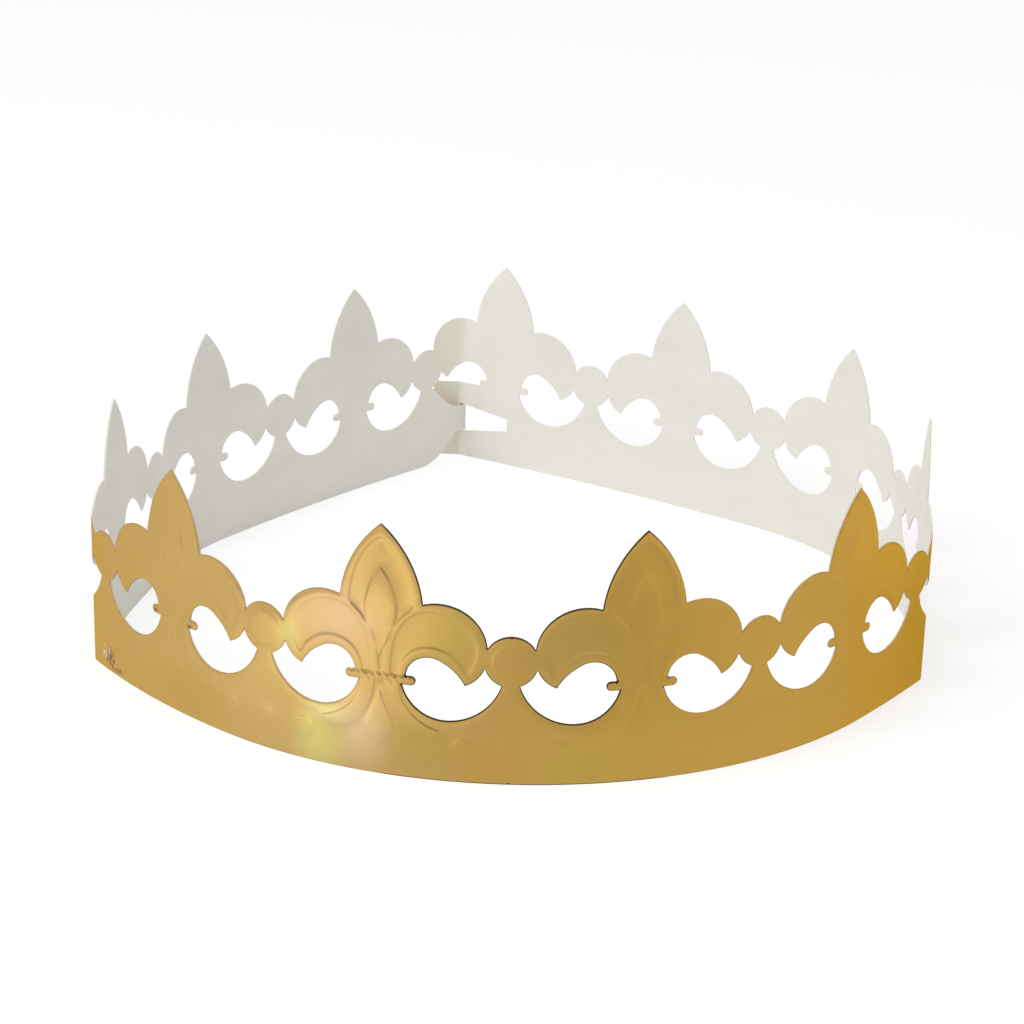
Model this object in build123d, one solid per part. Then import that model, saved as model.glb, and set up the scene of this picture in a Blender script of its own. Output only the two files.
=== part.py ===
from build123d import *
from math import acos, atan2, cos, degrees, hypot, radians, sin, sqrt, tan
import os

# A paper crown: one die-cut strip of foil-faced card, bent to a ring and hooked into itself at the back.
# Distances along the strip run counter-clockwise, seen from above, from the point where the tongue
# goes through the other end. Heights are measured from the bottom edge. All sizes are in millimetres.

# Card and row of fleurs
card = 0.45
pitch = 53.0
fleur_count = 11
first_fleur = 40.5
band_height = 13.2

# Petal
petal_tip = 53.8
petal_side = (5.6, 47.1)
petal_notch_angle = 109.0

# Lobes
lobe = (11.9, 28.25)
lobe_radius = 9.9
lobe_tip = (17.35, 21.1)
lobe_underside = (15.2, 23.96)
lobe_lower_edge = (19.9, 22.8)

# Beads, half a pitch from the fleurs, and their necks
bead = (pitch / 2, 26.6)
bead_radius = 5.45
neck_width = 3.7

# Crescent holes
hole = (10.1, 21.75)
hole_radius = 4.8
hole_curl_angle = 55.0
hole_bottom_x = 13.5
waist_half_width = 4.6

# Knobs of the tie, which stand into the holes
knob_end = 7.4
knob_z = 21.15
knob_half_height = 0.95
knob_corner = 0.55

# Embossing, pressed out of the foil face: the petal's middle leaf and the tie
relief = 0.25
leaf_tip = (0, 44.5)
leaf_upper_side = (2.3, 40.9)
leaf_widest = (3.4, 36.0)
leaf_lower_side = (1.9, 29.8)
leaf_foot = (0, 23.6)

# Plan of the ring: two sharp creases and the bends of each panel, each a share of the panel's
# length and a turn in degrees
crease_to_fleur = 32.6
fleurs_left_of_front = 3
fleurs_on_front = 4
left_bends = ((0.52, 9.0), (0.16, 21.0), (0.32, 11.0))
front_bends = ((0.21, 16.0), (0.67, 91.5), (0.12, 4.0))
right_bends = ((0.11, -6.0), (0.43, 58.5), (0.46, 8.0))
crease_radius = 0.5

# Window in the right end, from the last fleur's axis, and the tab beyond it
window_near = -1.3
window_far = 13.2
window_near_height = 3.4
window_far_height = 7.7
window_z = 10.75
tab_crease = 13.8
tab_length = 6.8
tab_height = 20.4
tab_bend = 28.0

# Left end: its edges run down and up to the tongue, which folds back on the tab
end_sweep = 15.5
end_lower_level = 2.9
end_upper_bend = ((32.2, 17.9), (35.0, 14.3))
end_lower_bend = ((30.3, 0.25), (34.2, 3.6))
tongue_root = 1.2
tongue_clearance = 0.2
tongue_gap = 0.3
tongue_bend_radius = 0.525
tongue_length = 12.0
tongue_tip_height = 3.0

# How far the cutting prisms reach past the card and past each other
cut_depth = 6.0
cut_room = 4.0
end_cut_depth = 1.2
window_cut_depth = 1.0
overlap = 0.3
end_overlap = 0.2

ring_length = pitch * fleur_count
last_fleur = first_fleur + (fleur_count - 1) * pitch
left_crease = first_fleur + fleurs_left_of_front * pitch - crease_to_fleur
right_crease = first_fleur + (fleurs_left_of_front + fleurs_on_front - 1) * pitch + crease_to_fleur
sheet_top = petal_tip + cut_room
sheet_bottom = -cut_room
crease_outer_radius = crease_radius + card
free_lobe_reach = lobe[0] + lobe_radius + 1
past_lobe = free_lobe_reach + 1


def direction(heading):
    return Vector(cos(radians(heading)), sin(radians(heading)), 0)


def along(start, heading, length, turn, run):
    """Point and heading after a run on an arc of the given length and turn."""
    part = turn * run / length
    chord = run if turn == 0 else 2 * length / radians(turn) * sin(radians(part) / 2)
    return start + direction(heading + part / 2) * chord, heading + part


def lay(start, heading, bends, length):
    """Stretches of a panel as (start point, heading, length, turn), and the panel's end."""
    stretches = []
    for share, turn in bends:
        stretches.append((start, heading, share * length, turn))
        start, heading = along(start, heading, share * length, turn, share * length)
    return stretches, start, heading


def chord_of(bends, length):
    """Length and direction of the line between the ends of a panel that starts along X."""
    end = lay(Vector(0, 0, 0), 0, bends, length)[1]
    return hypot(end.X, end.Y), degrees(atan2(end.Y, end.X))


# The three panels' chords close as a triangle: left crease, right crease, closure
left_length = left_crease
front_length = right_crease - left_crease
right_length = ring_length - right_crease
left_chord, left_offset = chord_of(left_bends, left_length)
front_chord, front_offset = chord_of(front_bends, front_length)
right_chord, right_offset = chord_of(right_bends, right_length)
closure_x = (left_chord ** 2 - right_chord ** 2) / (2 * front_chord)
closure_y = sqrt(left_chord ** 2 - (closure_x + front_chord / 2) ** 2)
closure = Vector(closure_x, closure_y, 0)
left_corner = Vector(-front_chord / 2, 0, 0)
right_corner = Vector(front_chord / 2, 0, 0)
left_heading = degrees(atan2(-closure_y, left_corner.X - closure_x)) - left_offset
right_heading = degrees(atan2(closure_y, closure_x - right_corner.X)) - right_offset

left_panel, _, _ = lay(closure, left_heading, left_bends, left_length)
front_panel, _, _ = lay(left_corner, -front_offset, front_bends, front_length)
right_panel, _, end_heading = lay(right_corner, right_heading, right_bends, right_length)
free_run = last_fleur + free_lobe_reach - ring_length
right_panel.append((closure, end_heading, free_run, 0))
panels = ((0, left_panel), (left_crease, front_panel), (right_crease, right_panel))


def spot(distance, panel):
    """Point and heading of the outer face at a distance along the strip, on one panel or its continuation."""
    start, stretches = panel
    run = distance - start
    for point, heading, length, turn in stretches:
        if run <= length:
            break
        run -= length
    else:
        run += length
    return along(point, heading, length, turn, run)


def wall(edges, height, side=Side.LEFT):
    """Standing card on the inner side of a run of edges."""
    outline = Wire(edges).offset_2d(card, kind=Kind.INTERSECTION, side=side)
    return extrude(Face(outline), height, dir=(0, 0, 1))


def run_edge(start, heading, length, turn):
    if turn == 0:
        return Line(start, start + direction(heading) * length).edge()
    return JernArc(start, direction(heading), length / radians(abs(turn)), turn).edge()


def prism(axis, side, panel, outward, inward, frame, outline):
    """Block across the card. The outline is drawn flat, from the axis, and follows the bent card."""
    origin, heading = spot(frame, panel)
    tangent = direction(heading)

    def place(point):
        bent = spot(axis + side * point[0], panel)[0]
        return origin + tangent * (bent - origin).dot(tangent) + Vector(0, 0, point[1])

    edges = []
    at = place(outline[0][0])
    for step in outline[1:]:
        points = [place(point) for point in step]
        if len(points) == 1:
            edges.append(Line(at, points[0]))
        elif len(points) == 2:
            edges.append(ThreePointArc(at, points[0], points[1]))
        else:
            edges.append(Bezier(at, *points))
        at = points[-1]
    face = Face(Wire([edge.edge() for edge in edges]))
    face = face.moved(Location(direction(heading - 90) * outward))
    return extrude(face, outward + inward, dir=direction(heading + 90))


def one_side(piece, panel, frame, crease, side):
    """The part of a cutting piece on one side of a crease, -1 before it and 1 after it."""
    origin, heading = spot(frame, panel)
    corner = spot(crease, panel)[0]
    reach = (corner - origin).dot(direction(heading)) + side * pitch
    box = Box(2 * pitch, 4 * cut_depth, 3 * sheet_top)
    return piece & (Location(origin + direction(heading) * reach, (0, 0, heading)) * box)


def half_cuts(axis, side, outline):
    """Prisms for half a fleur: one, or one on each side of a crease that crosses it."""
    near_panel = [panel for panel in panels if panel[0] <= axis][-1]
    far_panel = [panel for panel in panels if panel[0] <= axis + side * pitch / 2][-1]
    near_frame = axis + side * pitch / 4
    near = prism(axis, side, near_panel, cut_depth, cut_depth, near_frame, outline)
    if near_panel is far_panel:
        return [near]
    crease = max(near_panel[0], far_panel[0])
    far_frame = axis + side * pitch / 2
    far = prism(axis, side, far_panel, cut_depth, cut_depth, far_frame, outline)
    return [
        one_side(near, near_panel, near_frame, crease, -side),
        one_side(far, far_panel, far_frame, crease, side),
    ]


def on_circle(center, radius, angle):
    return (center[0] + radius * cos(radians(angle)), center[1] + radius * sin(radians(angle)))


def angle_on(center, point):
    return degrees(atan2(point[1] - center[1], point[0] - center[0]))


def round_to(center, radius, start, end):
    """Middle and end point of an arc of a circle from one point to another."""
    first, last = angle_on(center, start), angle_on(center, end)
    return (on_circle(center, radius, (first + last) / 2), end)


def mirrored(point):
    return (-point[0], point[1])


def circles_meet(center, radius, other, other_radius):
    """Upper and lower meeting points of two circles."""
    gap = hypot(other[0] - center[0], other[1] - center[1])
    base = (gap ** 2 + radius ** 2 - other_radius ** 2) / (2 * gap)
    rise = degrees(acos(base / radius))
    middle = angle_on(center, other)
    return on_circle(center, radius, middle + rise), on_circle(center, radius, middle - rise)


def level_bowl(bottom, end):
    """Middle point of the arc that is level at its bottom and passes through the end."""
    width, rise = end[0] - bottom[0], end[1] - bottom[1]
    half_turn = atan2(rise, abs(width))
    radius = (width ** 2 + rise ** 2) / (2 * rise)
    side = 1 if width > 0 else -1
    return (bottom[0] + side * radius * sin(half_turn), bottom[1] + radius * (1 - cos(half_turn)))


# Flat points of half a fleur
notch = on_circle(lobe, lobe_radius, petal_notch_angle)
bead_top = (bead[0], bead[1] + bead_radius)
upper_notch, lower_notch = circles_meet(lobe, lobe_radius, bead, bead_radius)
neck_drop = sqrt(bead_radius ** 2 - (neck_width / 2) ** 2)
neck_corner = (bead[0] - neck_width / 2, bead[1] - neck_drop)
outer_neck_corner = (bead[0] + neck_width / 2, bead[1] - neck_drop)
hole_bottom = (hole_bottom_x, band_height)
knob_top = (knob_end - knob_corner, knob_z + knob_half_height)
knob_upper = (knob_end, knob_top[1] - knob_corner)
knob_low = (knob_end - knob_corner, knob_z - knob_half_height)
knob_lower = (knob_end, knob_low[1] + knob_corner)
waist_low = (waist_half_width, knob_low[1])
waist_top = (hole[0] - sqrt(hole_radius ** 2 - (knob_top[1] - hole[1]) ** 2), knob_top[1])
curl = on_circle(hole, hole_radius, hole_curl_angle)

lobe_underedge = [
    (waist_top,),
    round_to(hole, hole_radius, waist_top, curl),
    (lobe_underside, lobe_tip),
    (lobe_lower_edge, lower_notch),
]

half_void = [
    ((0, petal_tip),),
    (petal_side, notch),
    round_to(lobe, lobe_radius, notch, upper_notch),
    round_to(bead, bead_radius, upper_notch, bead_top),
    ((bead_top[0] + overlap, bead_top[1]),),
    ((bead_top[0] + overlap, sheet_top),),
    ((0, sheet_top),),
    ((0, petal_tip),),
]

crescent = [
    (lower_notch,),
    round_to(bead, bead_radius, lower_notch, neck_corner),
    (level_bowl(hole_bottom, neck_corner), hole_bottom),
    (level_bowl(hole_bottom, waist_low), waist_low),
    (knob_low,),
    (knob_lower,),
    (knob_upper,),
    (knob_top,),
] + lobe_underedge

# The last fleur's free side: the lobe hangs over the level edge of the window end
free_side = [
    ((past_lobe, tab_height),),
    ((knob_low[0] + tab_height - knob_low[1], tab_height),),
    (knob_lower,),
    (knob_upper,),
    (knob_top,),
] + lobe_underedge + [
    round_to(lobe, lobe_radius, lower_notch, notch),
    (petal_side, (0, petal_tip)),
    ((0, sheet_top),),
    ((past_lobe, sheet_top),),
    ((past_lobe, tab_height),),
]

bend_start_x = tab_crease - crease_outer_radius * tan(radians(tab_bend / 2))
below_free_lobe = [
    ((bend_start_x, tab_height),),
    ((past_lobe, tab_height),),
    ((past_lobe, sheet_bottom),),
    ((bend_start_x, sheet_bottom),),
    ((bend_start_x, tab_height),),
]

leaf = [
    (leaf_tip,),
    (leaf_upper_side, leaf_widest),
    (leaf_lower_side, leaf_foot),
    (mirrored(leaf_lower_side), mirrored(leaf_widest)),
    (mirrored(leaf_upper_side), leaf_tip),
]

tie = [
    ((-waist_half_width, knob_z - knob_half_height),),
    ((waist_half_width, knob_z - knob_half_height),),
    ((waist_half_width, knob_z + knob_half_height),),
    ((-waist_half_width, knob_z + knob_half_height),),
    ((-waist_half_width, knob_z - knob_half_height),),
]

window = [
    ((window_near, window_z - window_near_height / 2),),
    ((window_far, window_z - window_far_height / 2),),
    ((window_far, window_z + window_far_height / 2),),
    ((window_near, window_z + window_near_height / 2),),
    ((window_near, window_z - window_near_height / 2),),
]

# The tongue is as tall as the window just short of the crossing, less the clearance
window_taper = (window_far_height - window_near_height) / (window_far - window_near)
through = ring_length - last_fleur - 2 * card
tongue_height = window_near_height + window_taper * (through - window_near) - 2 * tongue_clearance
tongue_low = window_z - tongue_height / 2
tongue_high = window_z + tongue_height / 2
end_x = first_fleur - tongue_root

above_left_end = [
    (bead_top,),
    round_to(bead, bead_radius, bead_top, outer_neck_corner),
    (end_upper_bend[0], end_upper_bend[1], (end_x, tongue_high)),
    ((end_x + end_overlap, tongue_high),),
    ((end_x + end_overlap, sheet_top),),
    ((bead_top[0] - overlap, sheet_top),),
    ((bead_top[0] - overlap, bead_top[1]),),
    (bead_top,),
]

below_left_end = [
    ((first_fleur - end_sweep, 0),),
    (end_lower_bend[0], end_lower_bend[1], (first_fleur - end_lower_level, tongue_low)),
    ((end_x + end_overlap, tongue_low),),
    ((end_x + end_overlap, sheet_bottom),),
    ((first_fleur - end_sweep, sheet_bottom),),
    ((first_fleur - end_sweep, 0),),
]

# The strip, standing at full height, with rounded creases. Each crease has an outer and an inner edge.
edges = []
root, root_heading = spot(tongue_root, panels[0])
point, heading, length, turn = left_panel[0]
edges.append(run_edge(root, root_heading, length - tongue_root, turn * (1 - tongue_root / length)))
for stretch in left_panel[1:] + front_panel + right_panel:
    edges.append(run_edge(*stretch))
strip = wall(edges, petal_tip)
for corner in (left_corner, right_corner):
    corner_edges = [edge for edge in strip.edges().filter_by(Axis.Z)
                    if hypot(edge.center().X - corner.X, edge.center().Y - corner.Y) < 2 * card]
    corner_edges.sort(key=lambda edge: hypot(edge.center().X - corner.X, edge.center().Y - corner.Y))
    strip = fillet(corner_edges[0], crease_outer_radius)
    inner_edges = [edge for edge in strip.edges().filter_by(Axis.Z)
                   if (edge.center() - corner_edges[1].center()).length < 0.01]
    strip = fillet(inner_edges, crease_radius)

# Cut the fleurs
cuts = []
for index in range(fleur_count):
    axis = first_fleur + index * pitch
    for side in (-1, 1):
        if index < fleur_count - 1 or side == -1:
            cuts += half_cuts(axis, side, half_void)
            cuts += half_cuts(axis, side, crescent)

# Cut the two ends. Their prisms are short, because the other end is close by.
last_frame = last_fleur + pitch / 4
left_frame = first_fleur - bead[0] - lobe_radius
end_cuts = (
    (last_fleur, 1, panels[2], cut_depth, last_frame, free_side),
    (last_fleur, 1, panels[2], end_cut_depth, last_frame, below_free_lobe),
    (last_fleur, 1, panels[2], window_cut_depth, last_frame, window),
    (first_fleur, -1, panels[0], end_cut_depth, left_frame, above_left_end),
    (first_fleur, -1, panels[0], end_cut_depth, left_frame, below_left_end),
)
for axis, side, panel, depth, frame, outline in end_cuts:
    cuts.append(prism(axis, side, panel, depth, depth, frame, outline))
crown = strip
for cut in cuts:
    crown = crown - cut

# Emboss each fleur
for index in range(fleur_count):
    axis = first_fleur + index * pitch
    panel = [panel for panel in panels if panel[0] <= axis][-1]
    for outline in (leaf, tie):
        crown = crown + prism(axis, 1, panel, relief, card / 2, axis, outline)

# The tab, creased inward below the free lobe
tab_start, tab_heading = spot(last_fleur + bend_start_x, panels[2])
tab_bend_length = crease_outer_radius * radians(tab_bend)
bend_end, bent_heading = along(tab_start, tab_heading, tab_bend_length, tab_bend, tab_bend_length)
tab_edges = [
    run_edge(tab_start, tab_heading, tab_bend_length, tab_bend),
    run_edge(bend_end, bent_heading, tab_length - tab_crease + bend_start_x, 0),
]
tab = wall(tab_edges, tab_height)

# The tongue goes out through the window and folds back along the tab
out_heading = left_heading + 180
tongue_turn = (bent_heading - out_heading) % 360
tab_face = direction(bent_heading - 90)
crease_point, _ = spot(last_fleur + tab_crease, panels[2])
to_tab = (crease_point - closure).dot(tab_face)
bend_part = tongue_bend_radius * (1 + direction(out_heading + 90).dot(tab_face))
straight = (tongue_gap + to_tab - bend_part) / direction(out_heading).dot(tab_face)
bend_start = closure + direction(out_heading) * straight
bend_length = tongue_bend_radius * radians(tongue_turn)
fold_end, fold_heading = along(bend_start, out_heading, bend_length, tongue_turn, bend_length)
tongue_edges = [
    Line(root, bend_start).edge(),
    run_edge(bend_start, out_heading, bend_length, tongue_turn),
]
tongue = wall(tongue_edges, tongue_height, Side.RIGHT).moved(Location((0, 0, tongue_low)))
half_root, half_tip = tongue_height / 2, tongue_tip_height / 2
flap_plane = Plane(fold_end + Vector(0, 0, window_z), direction(fold_heading), direction(fold_heading - 90))
flap_outline = Polyline(
    (0, -half_root), (tongue_length, -half_tip), (tongue_length, half_tip), (0, half_root), (0, -half_root)
)
flap = extrude(flap_plane * Face(Wire(flap_outline.edges())), card)
crown = crown + tab + tongue + flap

box = crown.bounding_box()
crown = crown.moved(Location((-box.center().X, -box.center().Y, 0)))
os.makedirs("parts", exist_ok=True)
export_step(crown, "parts/crown_strip.step")
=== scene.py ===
"""A gold paper crown: one die-cut, embossed strip of foil-faced card, bent to a ring and hooked shut."""
import math

import bpy
import numpy as np
from mathutils import Matrix, Vector
from mathutils.geometry import delaunay_2d_cdt


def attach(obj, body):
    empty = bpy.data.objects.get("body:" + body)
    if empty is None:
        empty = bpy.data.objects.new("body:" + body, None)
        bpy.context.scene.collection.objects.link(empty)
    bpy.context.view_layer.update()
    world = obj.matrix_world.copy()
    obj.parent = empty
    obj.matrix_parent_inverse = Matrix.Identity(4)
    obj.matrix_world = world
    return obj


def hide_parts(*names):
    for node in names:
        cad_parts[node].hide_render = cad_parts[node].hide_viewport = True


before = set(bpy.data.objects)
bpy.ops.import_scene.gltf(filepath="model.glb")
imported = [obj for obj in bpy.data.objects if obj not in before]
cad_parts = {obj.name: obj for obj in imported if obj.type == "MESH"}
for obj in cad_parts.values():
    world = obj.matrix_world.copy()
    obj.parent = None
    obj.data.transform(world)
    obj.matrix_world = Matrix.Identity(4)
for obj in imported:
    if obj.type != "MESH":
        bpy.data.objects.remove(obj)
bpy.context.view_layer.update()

MM = 0.001

# Card and row of fleurs, in millimetres. Distances run counter-clockwise from the closure.
CARD = 0.45
PITCH = 53.0
FLEURS = 11
FIRST_FLEUR = 40.5
BAND = 13.2
HALF = PITCH / 2

# Flat outline of half a fleur
PETAL_TIP = (0.0, 53.8)
PETAL_SIDE = (5.6, 47.1)
LOBE, LOBE_RADIUS = (11.9, 28.25), 9.9
LOBE_TIP = (17.35, 21.1)
LOBE_UNDERSIDE = (15.2, 23.96)
LOBE_LOWER_EDGE = (19.9, 22.8)
BEAD, BEAD_RADIUS = (HALF, 26.6), 5.45
NECK = 3.7
HOLE, HOLE_RADIUS = (10.1, 21.75), 4.8
HOLE_BOTTOM = (13.5, BAND)
WAIST = 4.6
KNOB_END, KNOB_Z, KNOB_RADIUS = 7.4, 21.15, 0.95

# Plan of the ring. A bend is its share of the panel's length, and its turn in degrees.
CREASE_TO_FLEUR = 32.6
LEFT_BENDS = ((0.52, 9.0), (0.16, 21.0), (0.32, 11.0))
FRONT_BENDS = ((0.21, 16.0), (0.67, 91.5), (0.12, 4.0))
RIGHT_BENDS = ((0.11, -6.0), (0.43, 58.5), (0.46, 8.0))
RING = PITCH * FLEURS
LAST_FLEUR = FIRST_FLEUR + (FLEURS - 1) * PITCH
LEFT_CREASE = FIRST_FLEUR + 3 * PITCH - CREASE_TO_FLEUR
RIGHT_CREASE = FIRST_FLEUR + 6 * PITCH + CREASE_TO_FLEUR

# Closure
WINDOW_NEAR, WINDOW_FAR, WINDOW_Z = -1.3, 13.2, 10.75
WINDOW_NEAR_HEIGHT, WINDOW_FAR_HEIGHT = 3.4, 7.7
TAB_CREASE, TAB_END, TAB_HEIGHT, TAB_BEND = 13.8, 20.6, 20.4, 28.0
END_SWEEP, LOWER_LEVEL, UPPER_LEVEL = 15.5, 2.9, 1.2
TONGUE_HEIGHT, TONGUE_GAP, TONGUE_BEND = 6.95, 0.3, 0.525
TONGUE_LENGTH, TONGUE_TIP = 12.0, 3.0
TONGUE_LOW, TONGUE_HIGH = WINDOW_Z - TONGUE_HEIGHT / 2, WINDOW_Z + TONGUE_HEIGHT / 2
LOWER_SWEEP = ((30.3, 0.25), (34.2, 3.6))
UPPER_SWEEP = ((35.0, TONGUE_HIGH + 0.1), (32.2, 17.9))
PAST_TAB = 5

# Sampling of the flat sheet
OUTLINE_STEP = 0.55
LINE_STEP = 0.6
KNOB_STEP = 0.3
FOLD_STEP = 0.15
FACE_GRID = 1.9
BACK_GRID = 3.0
CREASE_ROWS = (-0.5, -0.25, 0.0, 0.25, 0.5)

# The die rolls the foil over the last of the face before the cut edge
RIM, ROLL = 0.27, 0.12

# Side of the square that the strip's flat UV map fills, in millimetres
FLAT_SPAN = 640.0


# The plan: tangent arcs

def direction(heading):
    return np.array([math.cos(math.radians(heading)), math.sin(math.radians(heading))])


def along(start, heading, length, turn, run):
    """Point and heading after a run on an arc of the given length and turn."""
    part = turn * run / length
    chord = run if turn == 0 else 2 * length / math.radians(turn) * math.sin(math.radians(part) / 2)
    return start + direction(heading + part / 2) * chord, heading + part


def lay(start, heading, bends, length):
    """A panel's stretches as (start, heading, length, turn), and where and how it ends."""
    stretches = []
    for share, turn in bends:
        stretches.append((start, heading, share * length, turn))
        start, heading = along(start, heading, share * length, turn, share * length)
    return stretches, start, heading


def chord_of(bends, length):
    """Straight distance between a panel's ends, and that line's angle to its first heading."""
    end = lay(np.zeros(2), 0, bends, length)[1]
    return math.hypot(*end), math.degrees(math.atan2(end[1], end[0]))


def plan_of_ring():
    """Panels as (start distance, stretches), and the closure's point and headings."""
    left_chord, left_offset = chord_of(LEFT_BENDS, LEFT_CREASE)
    front_chord, front_offset = chord_of(FRONT_BENDS, RIGHT_CREASE - LEFT_CREASE)
    right_chord, right_offset = chord_of(RIGHT_BENDS, RING - RIGHT_CREASE)
    x = (left_chord ** 2 - right_chord ** 2) / (2 * front_chord)
    y = math.sqrt(left_chord ** 2 - (x + front_chord / 2) ** 2)
    closure = np.array([x, y])
    left_corner = np.array([-front_chord / 2, 0.0])
    right_corner = -left_corner
    left_heading = math.degrees(math.atan2(-y, left_corner[0] - x)) - left_offset
    right_heading = math.degrees(math.atan2(y, x - right_corner[0])) - right_offset
    left = lay(closure, left_heading, LEFT_BENDS, LEFT_CREASE)[0]
    front = lay(left_corner, -front_offset, FRONT_BENDS, RIGHT_CREASE - LEFT_CREASE)[0]
    right, _, end_heading = lay(right_corner, right_heading, RIGHT_BENDS, RING - RIGHT_CREASE)
    right.append((closure, end_heading, TAB_END + PAST_TAB, 0))
    return [(0.0, left), (LEFT_CREASE, front), (RIGHT_CREASE, right)], closure, left_heading, end_heading


PANELS, CLOSURE, LEFT_HEADING, END_HEADING = plan_of_ring()
CREASE_AT_TAB = LAST_FLEUR + TAB_CREASE
TAB_POINT = CLOSURE + direction(END_HEADING) * (CREASE_AT_TAB - RING)
TAB_HEADING = END_HEADING + TAB_BEND


def plan_of_tongue():
    """The tongue's stretches, in the strip's own direction, from the flap's tip to the closure."""
    out = LEFT_HEADING + 180
    turn = (TAB_HEADING - out) % 360
    tab_face = direction(TAB_HEADING - 90)
    bend_part = TONGUE_BEND * (1 + direction(out + 90) @ tab_face)
    straight = (TONGUE_GAP + (TAB_POINT - CLOSURE) @ tab_face - bend_part) / (direction(out) @ tab_face)
    bend_start = CLOSURE + direction(out) * straight
    bend_length = TONGUE_BEND * math.radians(turn)
    fold_end, fold_heading = along(bend_start, out, bend_length, turn, bend_length)
    tip = fold_end + direction(fold_heading) * TONGUE_LENGTH
    back = fold_heading - 180
    stretches = [
        (tip, back, TONGUE_LENGTH, 0),
        (fold_end, back, bend_length, -turn),
        (bend_start, LEFT_HEADING, max(straight, 0.01), 0),
    ]
    return (-(TONGUE_LENGTH + bend_length + straight), stretches), -straight, bend_length


TONGUE_PANEL, BEND_BEGINS, BEND_LENGTH = plan_of_tongue()
TAB_PANEL = (CREASE_AT_TAB, [(TAB_POINT, TAB_HEADING, 10.0, 0)])


def spot(distance, z):
    """Point of the strip's foil face at a distance and height."""
    if distance < 0:
        panel = TONGUE_PANEL
    elif distance > CREASE_AT_TAB and z < TAB_HEIGHT + 0.3:
        panel = TAB_PANEL
    else:
        panel = [panel for panel in PANELS if panel[0] <= distance][-1]
    run = distance - panel[0]
    for point, heading, length, turn in panel[1]:
        if run <= length:
            break
        run -= length
    else:
        run += length
    return along(point, heading, length, turn, run)[0]


def bent(distance, z, depth):
    """Point of the bent card, a depth behind its foil face, with each crease eased over half a millimetre."""
    reach = 0.25
    before, here, after = spot(distance - reach, z), spot(distance, z), spot(distance + reach, z)
    tangent = after - before
    tangent /= max(np.linalg.norm(tangent), 1e-9)
    centre = here if distance < 0 else (before + 2 * here + after) / 4
    return centre - np.array([tangent[1], -tangent[0]]) * depth


# Flat outlines

def on_circle(centre, radius, angle):
    x, z = math.cos(math.radians(angle)), math.sin(math.radians(angle))
    return (centre[0] + radius * x, centre[1] + radius * z)


def angle_on(centre, point):
    return math.degrees(math.atan2(point[1] - centre[1], point[0] - centre[0]))


def line(start, end, step=OUTLINE_STEP):
    """Points from start up to, but not including, the end."""
    count = max(1, round(math.dist(start, end) / step))
    return [(start[0] + (end[0] - start[0]) * i / count, start[1] + (end[1] - start[1]) * i / count)
            for i in range(count)]


def arc(centre, radius, first, last, step=OUTLINE_STEP):
    """Points of a circle's arc between two angles, without the last."""
    count = max(2, round(abs(math.radians(last - first)) * radius / step))
    return [on_circle(centre, radius, first + (last - first) * i / count) for i in range(count)]


def arc_through(start, middle, end):
    """Points of the arc through three points, without the last."""
    (ax, ay), (bx, by), (cx, cy) = start, middle, end
    d = 2 * (ax * (by - cy) + bx * (cy - ay) + cx * (ay - by))
    a2, b2, c2 = ax * ax + ay * ay, bx * bx + by * by, cx * cx + cy * cy
    centre = ((a2 * (by - cy) + b2 * (cy - ay) + c2 * (ay - by)) / d,
              (a2 * (cx - bx) + b2 * (ax - cx) + c2 * (bx - ax)) / d)
    first, through, last = (angle_on(centre, p) for p in (start, middle, end))
    if (through - first) % 360 < (last - first) % 360:
        last = first + (last - first) % 360
    else:
        last = first - (first - last) % 360
    return arc(centre, math.dist(centre, start), first, last)


def bezier(p0, p1, p2, p3):
    """Points of a curve with two handles, without the last."""
    count = max(3, round(math.dist(p0, p3) / OUTLINE_STEP))
    points = []
    for i in range(count):
        t = i / count
        weights = ((1 - t) ** 3, 3 * t * (1 - t) ** 2, 3 * t * t * (1 - t), t ** 3)
        points.append(tuple(sum(w * p[k] for w, p in zip(weights, (p0, p1, p2, p3))) for k in (0, 1)))
    return points


def circles_meet(centre, radius, other, other_radius):
    """The two points where circles cross."""
    gap = math.dist(centre, other)
    rise = math.degrees(math.acos((gap ** 2 + radius ** 2 - other_radius ** 2) / (2 * gap * radius)))
    middle = angle_on(centre, other)
    return on_circle(centre, radius, middle + rise), on_circle(centre, radius, middle - rise)


def level_bowl(bottom, end):
    """Middle point of the arc that is level at its bottom and passes through the end."""
    width, rise = end[0] - bottom[0], end[1] - bottom[1]
    half_turn = math.atan2(rise, abs(width))
    radius = (width ** 2 + rise ** 2) / (2 * rise)
    side = math.copysign(1, width)
    return (bottom[0] + side * radius * math.sin(half_turn), bottom[1] + radius * (1 - math.cos(half_turn)))


NOTCH_ANGLE, CURL_ANGLE = 109, 55
NOTCH = on_circle(LOBE, LOBE_RADIUS, NOTCH_ANGLE)
UPPER_NOTCH, LOWER_NOTCH = circles_meet(LOBE, LOBE_RADIUS, BEAD, BEAD_RADIUS)
BEAD_TOP = (HALF, BEAD[1] + BEAD_RADIUS)
NECK_Z = BEAD[1] - math.sqrt(BEAD_RADIUS ** 2 - (NECK / 2) ** 2)
KNOB = (KNOB_END - KNOB_RADIUS, KNOB_Z)
KNOB_TOP, KNOB_LOW = KNOB_Z + KNOB_RADIUS, KNOB_Z - KNOB_RADIUS
WAIST_TOP = (HOLE[0] - math.sqrt(HOLE_RADIUS ** 2 - (KNOB_TOP - HOLE[1]) ** 2), KNOB_TOP)
CURL = on_circle(HOLE, HOLE_RADIUS, CURL_ANGLE)


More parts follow.
